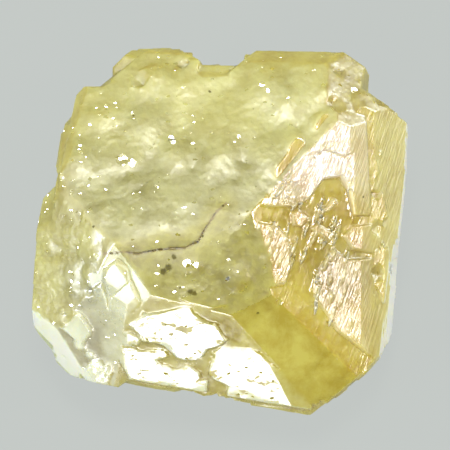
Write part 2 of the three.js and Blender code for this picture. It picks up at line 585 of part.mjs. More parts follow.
/** Three-sided pits, points down, all turned the same way on a face. */
function trigons([face, from, field, count, [narrow, wide]]) {
  return Array.from({ length: count }, () => {
    const radius = between(narrow, wide);
    const geometry = new THREE.ConeGeometry(radius * 2, radius * TRIGON_DEPTH * 2, 3);
    geometry.rotateX(-Math.PI / 2).translate(0, 0, from);
    return placedOn(face, somewhereOn(face, field), geometry);
  });
}

/** The crack: a narrow cut that follows its path and dies out at both ends. */
function crack() {
  const path = CRACK_PATH.map((pair) => new THREE.Vector2(...pair));
  const last = path.length - 1;
  const side = (sign) =>
    path.map((point, i) => {
      const ahead = path[Math.min(i + 1, last)].clone().sub(path[Math.max(i - 1, 0)]).normalize();
      const half = (sign * CRACK.width * Math.sin((Math.PI * (i + 0.5)) / (last + 1))) / 2;
      return new THREE.Vector2(point.x - ahead.y * half, point.y + ahead.x * half);
    });
  const outline = [...side(1), ...side(-1).reverse()];
  const cut = new THREE.ExtrudeGeometry(new THREE.Shape(outline), {
    depth: CLEAR,
    bevelEnabled: false,
  });
  const surface = pointOn("centre", CRACK_PATH[4]).z;
  return solidOf(cut.translate(0, 0, surface - CRACK.depth));
}

/** A rough lump of space, broken out of the crystal. */
function chip(middle, radius) {
  const geometry = new THREE.IcosahedronGeometry(radius, 0);
  geometry.rotateX(between(0, Math.PI)).rotateY(between(0, Math.PI));
  geometry.scale(between(0.8, 1.3), between(0.8, 1.3), between(0.7, 1.1));
  return solidOf(geometry.translate(...middle.toArray()));
}

/** Small chips along the outer edges of the blocks, more of them on the long edges. */
function edgeChips() {
  const edges = BLOCKS.flatMap(edgesOf);
  const total = edges.reduce((sum, [start, end]) => sum + start.distanceTo(end), 0);
  return edges.flatMap(([start, end]) => {
    const count = Math.floor((EDGE_CHIPS * start.distanceTo(end)) / total + draw());
    const middles = Array.from({ length: count }, () => start.clone().lerp(end, draw()));
    return middles.filter(isOnEdge).map((middle) => {
      const radius = between(...CHIP_RADIUS);
      const out = middle.clone().normalize();
      return chip(middle.clone().addScaledVector(out, radius * CHIP_OUT), radius);
    });
  });
}

/** What is cut off at the cleavage face, with the layers that broke off above it. */
function cleavageCut() {
  const frame = frameOf("cleavage", new THREE.Vector3(...CLEAVAGE_POINT));
  const below = new THREE.BoxGeometry(FAR, FAR, FAR).translate(0, 0, FAR / 2);
  const steps = CLEAVAGE_STEPS.map((outline) => {
    const flat = outline.map(([a, b]) => new THREE.Vector2(a, -b));
    const step = new THREE.ExtrudeGeometry(new THREE.Shape(flat), {
      depth: CLEAR,
      bevelEnabled: false,
    });
    return solidOf(step.translate(0, 0, -BREAK).applyMatrix4(frame));
  });
  return joined([solidOf(below.applyMatrix4(frame)), ...steps]);
}

// ---- The crystal ----

const added = [
  ...BLOCKS.map(blockSolid),
  ...TERRACES.flatMap(terraces),
  ...MOUNDS.map(mounds),
  ...STRIATIONS.map(striations),
];
const removed = [
  crack(),
  ...TRIGONS.flatMap(trigons),
  ...BREAKS.map(([middle, radius]) => chip(new THREE.Vector3(...middle), radius)),
  ...edgeChips(),
  cleavageCut(),
];
const whole = joined(added).subtract(joined(removed)).asOriginal().simplify(FLATNESS);

/** Tips the crystal over onto its cleavage face, with the middle of its box over the origin. */
function laidDown(geometry) {
  geometry.rotateX(leanAngle);
  geometry.computeBoundingBox();
  const { min, max } = geometry.boundingBox;
  const shift = new THREE.Vector3(-(min.x + max.x) / 2, -(min.y + max.y) / 2, -min.z);
  return geometry.translate(...shift.toArray());
}

/** The same geometry with its corners on the grid, so that no two are almost the same. */
function onGrid(geometry) {
  const { array } = geometry.attributes.position;
  array.forEach((value, i) => {
    array[i] = Math.round(value / GRID) * GRID;
  });
  return geometry;
}

/** One piece: crumbs that the breaks cut loose, and pockets shut inside, are left out. */
function onePiece(geometry) {
  const pieces = solidOf(geometry).decompose();
  const [largest] = pieces.sort((one, two) => two.volume() - one.volume());
  return geometryOf(largest);
}

const crystal = new THREE.Mesh(
  onePiece(onGrid(laidDown(geometryOf(whole)))),
  new THREE.MeshStandardMaterial({ color: 0xd2ca86, roughness: 0.25, metalness: 0 }),
);
crystal.name = "rough_diamond";

const group = new THREE.Group();
group.add(crystal);
export default group;
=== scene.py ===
"""A rough diamond: one cloudy yellow crystal lying on a plain pale floor.

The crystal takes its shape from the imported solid. Its skin is refined and worn, each face in its
own way, and it is then dressed as diamond. Sizes are in millimetres where a name says so; the
scene itself is in metres.
"""
import logging
import math
from dataclasses import dataclass, field
from enum import Enum

import bmesh
import bpy
import numpy as np
from mathutils import Matrix, Vector, noise
from mathutils.bvhtree import BVHTree


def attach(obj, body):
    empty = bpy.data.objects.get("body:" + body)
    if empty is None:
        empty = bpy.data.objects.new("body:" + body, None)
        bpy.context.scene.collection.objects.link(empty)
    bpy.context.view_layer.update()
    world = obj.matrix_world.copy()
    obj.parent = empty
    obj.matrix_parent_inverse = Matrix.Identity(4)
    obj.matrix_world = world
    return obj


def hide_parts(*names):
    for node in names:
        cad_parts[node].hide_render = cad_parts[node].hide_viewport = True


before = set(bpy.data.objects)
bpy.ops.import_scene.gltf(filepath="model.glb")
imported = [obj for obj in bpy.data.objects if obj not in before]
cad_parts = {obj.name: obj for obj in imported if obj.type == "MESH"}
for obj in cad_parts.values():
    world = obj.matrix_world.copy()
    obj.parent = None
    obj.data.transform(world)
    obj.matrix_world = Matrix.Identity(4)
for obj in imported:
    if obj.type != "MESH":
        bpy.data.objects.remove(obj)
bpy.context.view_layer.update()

MM = 0.001
LOG = logging.getLogger("rough_diamond")

# The layout frame: a to the right, b up across the crystal, c out of the near tip. The crystal
# leans over by this angle, about X, and its layout origin lies here in the row's frame.
LEAN = math.radians(25)
LAYOUT_ORIGIN_MM = (-0.007901, -0.042510, 1.819662)

# The view is this many pixels wide, at this scale.
VIEW_PIXELS = 450
PIXELS_PER_MM = 57

# Light goes this many steps, enough to find its way out of the crystal again.
BOUNCES = 20

# Linear red, green and blue, and alpha.
Colour = tuple[float, float, float, float]
# A place on the skin and the radius of the mark that lies there.
Mark = tuple[Vector, float]
Socket = bpy.types.NodeSocket

# A random colour less this one points any way.
MIDDLE = (0.5, 0.5, 0.5)


def linear(hex_colour: str) -> Colour:
    """Turns an sRGB hex colour into the linear values that shaders take.

    Args:
        hex_colour: six hex digits, such as "CDC882".

    Returns:
        Linear red, green and blue, and an alpha of one.
    """
    channels = [int(hex_colour[i : i + 2], 16) / 255 for i in (0, 2, 4)]
    return (*[c / 12.92 if c <= 0.04045 else ((c + 0.055) / 1.055) ** 2.4 for c in channels], 1.0)


class Face(Enum):
    """A face of the crystal: its direction and a point on it in the layout, and its tint, which on
    some faces holds painted reflection.
    """

    CROWN = ((-0.05, 0.572, 1.0), (0.51, 0.3, 1.99), "CEC97E")
    CENTRE = ((0.095, -0.073, 1.0), (0.51, 0.3, 1.99), "ACA422")
    AMBER = ((0.22, -0.33, 1.0), (0.86, -1.6, 1.7), "C8BA3C")
    BRIGHT = ((-0.03, -0.56, 1.0), (-0.28, -1.63, 1.79), "BCAE2C")
    # The stepped face's pale tint is partly its own colour and partly painted reflection, the
    # paleness of a face that catches light.
    STEPPED = ((-0.27, -0.326, 1.0), (-1.4, -1.0, 2.03), "ECEED4")
    LEFT = ((-0.795, -0.064, 1.0), (-2.33, -1.21, 1.71), "BCB45A")
    LOWER_LEFT = ((-0.39, -0.5, 1.0), (-2.07, -1.53, 1.64), "ACA47C")
    # The lobe's near-white tint is painted reflection of the pale floor.
    LOBE = ((-0.8, -0.62, 0.5), (-2.74, -1.82, 1.27), "FAFFEC")
    RIGHT = ((0.588, 0.052, 1.0), (0.51, 0.3, 1.99), "CEBA2E")
    SIDE = ((0.95, 0.05, 1.0), (2.37, 0.3, 1.0), "CCC056")
    SHOULDER = ((0.62, 0.5, 0.8), (2.75, 2.1, 0.45), "B8A82E")
    TOP_RIM = ((0.0, 0.86, 0.5), (0.0, 2.75, 0.55), "CABC44")
    LEFT_RIM = ((-0.72, 0.5, 0.55), (-2.5, 1.8, 0.85), "C2B64C")
    # The east band's near-white tint is painted reflection of the pale floor.
    EAST = ((1.0, -0.085, 0.2), (3.0, 0.0, 0.45), "FAFFEE")
    NORTH_EAST = ((0.53, 0.84, -0.12), (2.79, 2.17, 0.2), "C2B64C")
    NORTH = ((0.02, 1.0, -0.12), (0.0, 2.81, 0.1), "BDAF40")
    NORTH_WEST = ((-0.69, 0.72, -0.12), (-2.15, 2.33, 0.3), "C2B64C")
    WEST = ((-1.0, 0.09, -0.14), (-2.66, 1.3, 0.3), "C6BE60")
    SOUTH_WEST = ((-0.72, -0.69, 0.1), (-2.85, -2.15, 0.4), "D0D69A")
    SOUTH = ((-0.17, -0.98, -0.06), (0.6, -2.95, 0.9), "C4B84C")
    SOUTH_EAST = ((0.64, -0.77, -0.1), (2.28, -2.58, 0.6), "C4B548")
    EAST_UNDER = ((0.9, -0.05, -0.52), (3.05, 0.0, -0.5), "C6BD5C")
    WEST_UNDER = ((-0.86, 0.02, -0.58), (-2.9, 0.0, -0.5), "C6BD5C")
    SOUTH_UNDER = ((-0.05, -0.86, -0.5), (0.0, -2.9, 0.3), "C6BD5C")
    NORTH_UNDER = ((0.05, 0.72, -0.72), (0.0, 2.75, -1.9), "C6BD5C")
    BASE = ((0.0, -math.sin(LEAN), -math.cos(LEAN)), (0.51, -1.285, -1.409), "C8C068")

    def direction(self) -> np.ndarray:
        """The face's outward direction, of length one."""
        out = np.array(self.value[0])
        return out / np.linalg.norm(out)

    def point(self) -> np.ndarray:
        """A point of the face, in millimetres."""
        return np.array(self.value[1])

    def tint(self) -> Colour:
        """The colour of the face, linear."""
        return linear(self.value[2])


# A value for each of some faces.
FaceValues = tuple[tuple[Face, float], ...]


def to_layout(points: np.ndarray) -> np.ndarray:
    """Brings points from the row's frame to the layout.

    Args:
        points: one point in each row, in millimetres.

    Returns:
        The same points in the layout.
    """
    moved = points - np.array(LAYOUT_ORIGIN_MM)
    cos, sin = math.cos(LEAN), math.sin(LEAN)
    a, y, z = moved[:, 0], moved[:, 1], moved[:, 2]
    return np.column_stack((a, y * cos + z * sin, -y * sin + z * cos))


def turned_to_layout(directions: np.ndarray) -> np.ndarray:
    """Brings directions from the row's frame to the layout."""
    return to_layout(directions + np.array(LAYOUT_ORIGIN_MM))


def from_layout(directions: np.ndarray) -> np.ndarray:
    """Brings directions from the layout to the row's frame.

    Args:
        directions: one direction in each row.

    Returns:
        The same directions in the row's frame.
    """
    cos, sin = math.cos(LEAN), math.sin(LEAN)
    a, b, c = directions.T
    return np.column_stack((a, b * cos - c * sin, b * sin + c * cos))


def striation_directions(degrees: float) -> tuple[np.ndarray, np.ndarray]:
    """Finds how the right face's striations run.

    Args:
        degrees: their angle from a towards b, as seen down the near tip.

    Returns:
        The way along them and the way across them, in the row's frame.
    """
    turn = math.radians(degrees)
    out = Face.RIGHT.direction()
    along = np.array([math.cos(turn), math.sin(turn), 0.0])
    along -= out * (along @ out)
    along /= np.linalg.norm(along)
    across = np.cross(out, along)
    return tuple(from_layout(np.array([along, across])))


def smoothstep(values: np.ndarray, low: float, high: float, base: float = 0.0) -> np.ndarray:
    """Rises smoothly from the base at low to 1 at high."""
    t = np.clip((values - low) / (high - low), 0, 1)
    return base + (1 - base) * (t * t * (3 - 2 * t))


def placed(name: str, data: bpy.types.ID) -> bpy.types.Object:
    """Puts a new object into the scene.

    Args:
        name: its name.
        data: its mesh, light or camera.

    Returns:
        The object.
    """
    made = bpy.data.objects.new(name, data)
    bpy.context.scene.collection.objects.link(made)
    return made


def remade(mesh: bpy.types.Mesh, kind: str, weights: np.ndarray | None = None,
           **settings: object) -> bpy.types.Mesh:
    """Puts a mesh through one modifier, and lets go of the mesh it was.

    Args:
        mesh: the mesh to change.
        kind: the modifier's type, such as "SMOOTH".
        weights: how strongly it works on each point, where that differs.
        settings: the modifier's own properties.

    Returns:
        The changed mesh.
    """
    holder = placed("holder", mesh)
    modifier = holder.modifiers.new(kind.lower(), kind)
    for name, value in settings.items():
        setattr(modifier, name, value)
    if weights is not None:
        group = holder.vertex_groups.new(name="weights")
        for index, weight in enumerate(weights.tolist()):
            group.add((index,), weight, "REPLACE")
        modifier.vertex_group = group.name
    graph = bpy.context.evaluated_depsgraph_get()
    made = bpy.data.meshes.new_from_object(holder.evaluated_get(graph))
    bpy.data.objects.remove(holder)
    bpy.data.meshes.remove(mesh)
    return made


def write_attribute(mesh: bpy.types.Mesh, name: str, values: np.ndarray) -> None:
    """Writes an attribute of a mesh's points.

    Args:
        mesh: the mesh.
        name: the attribute's name.
        values: a number for each point, or a row of four for each, which makes it a colour.
    """
    kind, key = ("FLOAT", "value") if values.ndim == 1 else ("FLOAT_COLOR", "color")
    mesh.attributes.new(name, kind, "POINT").data.foreach_set(key, values.ravel())


class NodeTree:
    """A material's or world's nodes, added one at a time."""

    def __init__(self, tree: bpy.types.NodeTree) -> None:
        """Clears the tree and keeps it."""
        self.tree = tree
        tree.nodes.clear()

    def add(self, kind: str, values: dict | None = None, **settings: object) -> bpy.types.Node:
        """Adds a node.

        Args:
            kind: the node's type, such as "ShaderNodeTexNoise".
            values: what its inputs are set to, or the output sockets that feed them, by name.
            settings: its own properties.

        Returns:
            The new node.
        """
        made = self.tree.nodes.new(kind)
        for name, value in settings.items():
            setattr(made, name, value)
        for name, value in (values or {}).items():
            socket = made.inputs[name]
            if isinstance(value, Socket):
                self.tree.links.new(value, socket)
            else:
                socket.default_value = value
        return made


@dataclass(frozen=True)
class Diamond:
    """Cloudy yellow diamond: glassy lustre on the polished plates and a soft glow from inside.

    It reads four attributes of the skin: its tint; its polish, from -1 where it is dull to 1 where
    it mirrors; plated, where a bright plate stands above the ground; and wear, whose red is how
    pebbled, whose green how striated and whose blue how stained it is.
    """

    # The stone itself: clouds scatter the light that comes in, and the body takes out the blue.
    ior: float = 2.417
    transmission: float = 0.25
    absorption_colour: str = "E6D67A"
    absorption_per_mm: float = 0.12
    scatter_mm: float = 0.5
    scatter: tuple[float, float, float] = (1.0, 0.9, 0.5)
    specular: float = 0.5
    polished: float = 0.1
    frosted: float = 0.46
    # Clouds, half a millimetre across and more: where they are milky, and how the clear and the
    # milky places change the tint.
    cloud_mm: float = 0.6
    cloud_band: tuple[float, float] = (0.38, 0.62)
    clear_gamma: float = 1.45
    milk_kept: tuple[float, float, float] = (0.92, 0.94, 0.95)
    milk_added: tuple[float, float, float] = (0.08, 0.08, 0.038)
    # Grain of the frosted ground, etched cells and striations. The real grain is finer than the
    # eye can part, and this one is as coarse as it needs to be to show.
    grain_mm: float = 0.12
    grain_band: tuple[float, float] = (0.35, 0.65)
    grain_roughness: float = 0.05
    grain_depth_mm: float = 0.012
    cell_mm: float = 0.1
    cell_depth_mm: float = 0.01
    striation_degrees: float = 62
    striation_long_mm: float = 0.4
    striation_wide_mm: float = 0.05
    striation_depth_mm: float = 0.025
    # Notches in the bright plates.
    notch: str = "B8AA2A"
    notch_mm: float = 0.15
    notch_stretch: tuple[float, float, float] = (0.6, 1.2, 1.2)
    notch_band: tuple[float, float] = (0.56, 0.59)
    # Flecks, tiny flat facets: their spacing and their reach in it, the way they face, out of the
    # crystal's grain, and how they cluster. All small marks have ragged edges.
    fleck_mm: float = 0.105
    fleck_stretch: tuple[float, float, float] = (0.7, 1.25, 1.25)
    fleck_reach: float = 0.06
    fleck_reach_spread: float = 0.26
    fleck_facing: tuple[float, float, float] = (0.0, -0.233, 0.972)
    fleck_turn: float = 0.22
    cluster_mm: float = 0.9
    cluster_pull: float = 1.2
    ragged_mm: float = 0.07
    # How much luck a fleck needs to show on plain ground, what that changes by on the plates and
    # on the pebbled faces, and how pebbled such a face is. On the plates flecks are etch pits.
    luck_needed: float = 1.9
    luck_on_plates: float = -0.82
    luck_on_pebbles: float = -0.6
    pebbled_band: tuple[float, float] = (0.1, 0.3)
    pit: str = "A39C38"
    # Iron stain and inclusions.
    stain: str = "866410"
    speck: str = "5E5604"
    speck_strength: float = 0.95
    speck_core: float = 0.5

    def material(self, specks: list[Mark], bared: list[Mark]) -> bpy.types.Material:
        """Builds the material.

        Args:
            specks: the dark inclusions, each by its middle and its radius, in metres.
            bared: the places where the grain lies bare and flashes white, in the same way.

        Returns:
            The material.
        """
        made = bpy.data.materials.new("cloudy yellow diamond")
        made.use_nodes = True
        nodes = NodeTree(made.node_tree)
        place = nodes.add("ShaderNodeTexCoord").outputs["Object"]
        tint = nodes.add("ShaderNodeAttribute", attribute_name="tint").outputs["Color"]
        polish = nodes.add("ShaderNodeAttribute", attribute_name="polish").outputs["Fac"]
        wear = nodes.add("ShaderNodeAttribute", attribute_name="wear").outputs["Color"]
        kinds = nodes.add("ShaderNodeSeparateColor", {"Color": wear}).outputs
        pebbled, striated, stained = kinds["Red"], kinds["Green"], kinds["Blue"]
        plated = nodes.add("ShaderNodeAttribute", attribute_name="plated").outputs["Fac"]

        tint, polish = self._notched(nodes, place, plated, tint, polish)
        clouded = self._clouded(nodes, place, tint)
        grain = nodes.add("ShaderNodeTexNoise", {
            "Vector": place, "Scale": 1 / (self.grain_mm * MM), "Detail": 3.0,
        }).outputs["Fac"]
        gloss = self._frosted(nodes, grain, polish)
        skin = self._etched(nodes, place, grain, pebbled, striated)
        ragged = self._ragged(nodes, place)
        fleck, kind, turns = self._flecked(nodes, place, ragged, pebbled, plated, bared)
        outward = self._faceted(nodes, skin, fleck, kind, turns)
        lustre = nodes.add("ShaderNodeMix", {"Factor": fleck, "A": gloss, "B": self.polished})

        # Iron stain in the crack.
        stain = nodes.add("ShaderNodeMix", {
            "Factor": stained, "A": clouded, "B": linear(self.stain)[:3],
        }, data_type="VECTOR")
        # Inclusions: small dark greenish specks, matt, and ragged at their edges.
        dark = self._speckled(nodes, ragged, specks)
        specked = nodes.add("ShaderNodeMix", {
            "Factor": dark, "A": stain.outputs["Result"], "B": linear(self.speck)[:3],
        }, data_type="VECTOR")
        shining = nodes.add("ShaderNodeMapRange", {
            "Value": dark, "To Min": self.specular, "To Max": 0.0,
        })
        # The plates' etch pits show the ground's yellow.
        pitted = nodes.add("ShaderNodeMath", {0: plated, 1: fleck}, operation="MULTIPLY")
        body = nodes.add("ShaderNodeMix", {
            "Factor": pitted.outputs["Value"], "A": specked.outputs["Result"],
            "B": linear(self.pit)[:3],
        }, data_type="VECTOR")

        shader = nodes.add("ShaderNodeBsdfPrincipled", {
            "Base Color": body.outputs["Result"], "Roughness": lustre.outputs["Result"],
            "IOR": self.ior, "Specular IOR Level": shining.outputs["Result"],
            "Transmission Weight": self.transmission,
            "Subsurface Weight": 1.0, "Subsurface Scale": self.scatter_mm * MM,
            "Subsurface Radius": self.scatter, "Normal": outward,
        })
        inside = nodes.add("ShaderNodeVolumeAbsorption", {
            "Color": linear(self.absorption_colour), "Density": self.absorption_per_mm / MM,
        })
        nodes.add("ShaderNodeOutputMaterial", {
            "Surface": shader.outputs["BSDF"], "Volume": inside.outputs["Volume"],
        })
        return made

    def _notched(self, nodes: NodeTree, place: Socket, plated: Socket, tint: Socket,
                 polish: Socket) -> tuple[Socket, Socket]:
        """Etches ragged little hollows into the bright plates, yellow and dull like the ground.

        Args:
            nodes: the material's nodes.
            place: the point on the skin.
            plated: where the bright plates are.
            tint: the skin's colour.
            polish: the skin's polish.

        Returns:
            The tint and the polish, changed in the hollows.
        """
        sidelong = nodes.add("ShaderNodeVectorMath", {0: place, 1: self.notch_stretch},
                             operation="MULTIPLY")
        etch = nodes.add("ShaderNodeTexNoise", {
            "Vector": sidelong.outputs["Vector"], "Scale": 1 / (self.notch_mm * MM),
            "Detail": 4.0, "Roughness": 0.65, "Distortion": 0.4,
        })
        low, high = self.notch_band
        eaten = nodes.add("ShaderNodeMapRange", {
            "Value": etch.outputs["Fac"], "From Min": low, "From Max": high,
        })
        notch = nodes.add("ShaderNodeMath", {0: eaten.outputs["Result"], 1: plated},
                          operation="MULTIPLY").outputs["Value"]
        tinted = nodes.add("ShaderNodeMix", {
            "Factor": notch, "A": tint, "B": linear(self.notch)[:3],
        }, data_type="VECTOR")
        dulled = nodes.add("ShaderNodeMath", {0: polish, 1: notch}, operation="SUBTRACT")
        return tinted.outputs["Result"], dulled.outputs["Value"]

    def _clouded(self, nodes: NodeTree, place: Socket, tint: Socket) -> Socket:
        """Clouds the body: milky in some places, and a clearer, deeper yellow in others.

        Args:
            nodes: the material's nodes.
            place: the point on the skin.
            tint: the skin's colour.

        Returns:
            The clouded colour.
        """
        cloud = nodes.add("ShaderNodeTexNoise", {
            "Vector": place, "Scale": 1 / (self.cloud_mm * MM), "Detail": 6.0,
            "Roughness": 0.72, "Distortion": 0.2,
        })
        low, high = self.cloud_band
        shade = nodes.add("ShaderNodeMapRange", {
            "Value": cloud.outputs["Fac"], "From Min": low, "From Max": high,
        })
        clear = nodes.add("ShaderNodeGamma", {"Color": tint, "Gamma": self.clear_gamma})
        milky = nodes.add("ShaderNodeVectorMath", {
            0: tint, 1: self.milk_kept, 2: self.milk_added,
        }, operation="MULTIPLY_ADD")
        clouded = nodes.add("ShaderNodeMix", {
            "Factor": shade.outputs["Result"], "A": clear.outputs["Color"],
            "B": milky.outputs["Vector"],
        }, data_type="VECTOR")
        return clouded.outputs["Result"]

    def _frosted(self, nodes: NodeTree, grain: Socket, polish: Socket) -> Socket:
        """Frosts the ground between the plates, a little unevenly.

        Args:
            nodes: the material's nodes.
            grain: the ground's grain.
            polish: the skin's polish.

        Returns:
            The roughness.
        """
        rough = nodes.add("ShaderNodeMapRange", {
            "Value": polish, "From Min": -1.0, "To Min": 2 * self.frosted - self.polished,
            "To Max": self.polished,
        })
        low, high = self.grain_band
        uneven = nodes.add("ShaderNodeMapRange", {
            "Value": grain, "From Min": low, "From Max": high,
            "To Min": -self.grain_roughness, "To Max": self.grain_roughness,
        })
        gloss = nodes.add("ShaderNodeMath", {
            0: rough.outputs["Result"], 1: uneven.outputs["Result"],
        }, operation="ADD")
        return gloss.outputs["Value"]

    def _etched(self, nodes: NodeTree, place: Socket, grain: Socket, pebbled: Socket,
                striated: Socket) -> Socket:
        """Tilts the skin: shallow etched cells, fine striations and grain.

        Args:
            nodes: the material's nodes.
            place: the point on the skin.
            grain: the ground's grain.
            pebbled: how pebbled the skin is.
            striated: how striated it is.

        Returns:
            The skin's normal.
        """
        cells = nodes.add("ShaderNodeTexVoronoi", {
            "Vector": place, "Scale": 1 / (self.cell_mm * MM),
        })
        etched = nodes.add("ShaderNodeBump", {
            "Height": cells.outputs["Distance"], "Strength": pebbled,
            "Distance": self.cell_depth_mm * MM,
        })
        # The striations run one way along the face, each broken off here and there.
        along, across = striation_directions(self.striation_degrees)
        lengthwise = nodes.add("ShaderNodeVectorMath", {
            0: place, 1: along / (self.striation_long_mm * MM),
        }, operation="DOT_PRODUCT")
        sideways = nodes.add("ShaderNodeVectorMath", {
            0: place, 1: across / (self.striation_wide_mm * MM),
        }, operation="DOT_PRODUCT")
        laid = nodes.add("ShaderNodeCombineXYZ", {
            "X": lengthwise.outputs["Value"], "Y": sideways.outputs["Value"],
        })
        ridges = nodes.add("ShaderNodeTexNoise", {
            "Vector": laid.outputs["Vector"], "Scale": 1.0, "Detail": 2.0,
        })
        ridged = nodes.add("ShaderNodeBump", {
            "Height": ridges.outputs["Fac"], "Strength": striated,
            "Distance": self.striation_depth_mm * MM, "Normal": etched.outputs["Normal"],
        })
        skin = nodes.add("ShaderNodeBump", {
            "Height": grain, "Strength": pebbled, "Distance": self.grain_depth_mm * MM,
            "Normal": ridged.outputs["Normal"],
        })
        return skin.outputs["Normal"]

    def _ragged(self, nodes: NodeTree, place: Socket) -> Socket:
        """Moves each point a little this way or that, so that small marks have ragged edges.

        Args:
            nodes: the material's nodes.
            place: the point on the skin.

        Returns:
            The moved point.
        """
        shift = nodes.add("ShaderNodeTexNoise", {
            "Vector": place, "Scale": 1 / (self.ragged_mm * MM),
        })
        pull = nodes.add("ShaderNodeVectorMath", {
            0: shift.outputs["Color"], 1: MIDDLE,
        }, operation="SUBTRACT")
        moved = nodes.add("ShaderNodeVectorMath", {
            0: pull.outputs["Vector"], 1: (self.ragged_mm * MM,) * 3, 2: place,
        }, operation="MULTIPLY_ADD")
        return moved.outputs["Vector"]

    def _flecked(self, nodes: NodeTree, place: Socket, ragged: Socket, pebbled: Socket,
                 plated: Socket, bared: list[Mark]) -> tuple[Socket, Socket, Socket]:
        """Scatters flecks in clusters, and adds the larger bare places.

        Args:
            nodes: the material's nodes.
            place: the point on the skin.
            ragged: the point, moved a little.
            pebbled: how pebbled the skin is.
            plated: where the bright plates are.
            bared: the bare places.

        Returns:
            Where there is a fleck, whether the face is pebbled, and a random colour for each
            fleck, to turn it by.
        """
        drawn_out = nodes.add("ShaderNodeVectorMath", {0: ragged, 1: self.fleck_stretch},
                              operation="MULTIPLY")
        dots = nodes.add("ShaderNodeTexVoronoi", {
            "Vector": drawn_out.outputs["Vector"], "Scale": 1 / (self.fleck_mm * MM),
        })
        cluster = nodes.add("ShaderNodeTexNoise", {
            "Vector": place, "Scale": 1 / (self.cluster_mm * MM), "Detail": 2.0,
        })
        luck = nodes.add("ShaderNodeSeparateColor", {"Color": dots.outputs["Color"]})
        drawn = nodes.add("ShaderNodeMath", {
            0: cluster.outputs["Fac"], 1: self.cluster_pull, 2: luck.outputs["Red"],
        }, operation="MULTIPLY_ADD")
        low, high = self.pebbled_band
        kind = nodes.add("ShaderNodeMapRange", {
            "Value": pebbled, "From Min": low, "From Max": high,
        }).outputs["Result"]
        spared = nodes.add("ShaderNodeMath", {
            0: plated, 1: self.luck_on_plates, 2: self.luck_needed,
        }, operation="MULTIPLY_ADD")
        rarity = nodes.add("ShaderNodeMath", {
            0: kind, 1: self.luck_on_pebbles, 2: spared.outputs["Value"],
        }, operation="MULTIPLY_ADD")
        chosen = nodes.add("ShaderNodeMath", {
            0: drawn.outputs["Value"], 1: rarity.outputs["Value"],
        }, operation="GREATER_THAN")
        reach = nodes.add("ShaderNodeMath", {
            0: luck.outputs["Green"], 1: self.fleck_reach_spread, 2: self.fleck_reach,
        }, operation="MULTIPLY_ADD")
        inside = nodes.add("ShaderNodeMath", {
            0: dots.outputs["Distance"], 1: reach.outputs["Value"],
        }, operation="LESS_THAN")
        fleck = nodes.add("ShaderNodeMath", {
            0: chosen.outputs["Value"], 1: inside.outputs["Value"],
        }, operation="MULTIPLY").outputs["Value"]
        for middle, radius in bared:
            away = nodes.add("ShaderNodeVectorMath", {0: ragged, 1: middle},
                             operation="DISTANCE")
            near = nodes.add("ShaderNodeMath", {0: away.outputs["Value"], 1: radius},
                             operation="LESS_THAN")
            fleck = nodes.add("ShaderNodeMath", {0: near.outputs["Value"], 1: fleck},
                              operation="MAXIMUM").outputs["Value"]
        return fleck, kind, dots.outputs["Color"]

    def _faceted(self, nodes: NodeTree, skin: Socket, fleck: Socket, kind: Socket,
                 turns: Socket) -> Socket:
        """Turns the flecks: together on the pebbled faces, so that they flash, and as etch pits,
        any way, on the plates.

        Args:
            nodes: the material's nodes.
            skin: the skin's normal.
            fleck: where there is a fleck.
            kind: whether the face is pebbled.
            turns: a random colour for each fleck.

        Returns:
            The normal, flecks and all.
        """
        spread = nodes.add("ShaderNodeVectorMath", {0: turns, 1: MIDDLE},
                           operation="SUBTRACT")
        grainwise = nodes.add("ShaderNodeVectorTransform", {"Vector": self.fleck_facing},
                              vector_type="NORMAL", convert_from="OBJECT", convert_to="WORLD")
        flash = nodes.add("ShaderNodeVectorMath", {
            0: spread.outputs["Vector"], 1: (self.fleck_turn,) * 3,
            2: grainwise.outputs["Vector"],
        }, operation="MULTIPLY_ADD")
        pit = nodes.add("ShaderNodeVectorMath", {
            0: spread.outputs["Vector"], 1: (1.0, 1.0, 1.0), 2: skin,
        }, operation="MULTIPLY_ADD")
        facet = nodes.add("ShaderNodeMix", {
            "Factor": kind, "A": pit.outputs["Vector"], "B": flash.outputs["Vector"],
        }, data_type="VECTOR")
        normal = nodes.add("ShaderNodeMix", {
            "Factor": fleck, "A": skin, "B": facet.outputs["Result"],
        }, data_type="VECTOR")
        outward = nodes.add("ShaderNodeVectorMath", {0: normal.outputs["Result"]},
                            operation="NORMALIZE")
        return outward.outputs["Vector"]

    def _speckled(self, nodes: NodeTree, ragged: Socket, specks: list[Mark]) -> Socket:
        """Finds how near each point is to an inclusion.

        Args:
            nodes: the material's nodes.
            ragged: the point on the skin, moved a little.
            specks: the inclusions.

        Returns:
            From 0 away from them to nearly 1 at their cores.
        """
        dark = 0.0
        for middle, radius in specks:
            away = nodes.add("ShaderNodeVectorMath", {0: ragged, 1: middle},
                             operation="DISTANCE")
            near = nodes.add("ShaderNodeMapRange", {
                "Value": away.outputs["Value"], "From Min": radius * self.speck_core,
                "From Max": radius, "To Min": self.speck_strength, "To Max": 0.0,
            })
            dark = nodes.add("ShaderNodeMath", {0: near.outputs["Result"], 1: dark},
                             operation="MAXIMUM").outputs["Value"]
        return dark


@dataclass(frozen=True)
class Survey:
    """What is known of each point of the skin.

    The points and the turned normals are in the layout, and the normals in the row's frame. For
    each face there is how far each point belongs to it, and how high it stands above it.
    """

    layout: np.ndarray
    normals: np.ndarray
    turned: np.ndarray
    shares: dict[Face, np.ndarray]
    heights: dict[Face, np.ndarray]

    def facing(self, face: Face, low: float, high: float) -> np.ndarray:
        """From 0 where the skin is turned away from a face's direction to 1 where it isn't."""
        return smoothstep(self.turned @ face.direction(), low, high)

    def together(self, values: FaceValues) -> np.ndarray:
        """The sum of the faces' values, each by the points' shares in its face."""
        return sum(self.shares[face] * value for face, value in values)


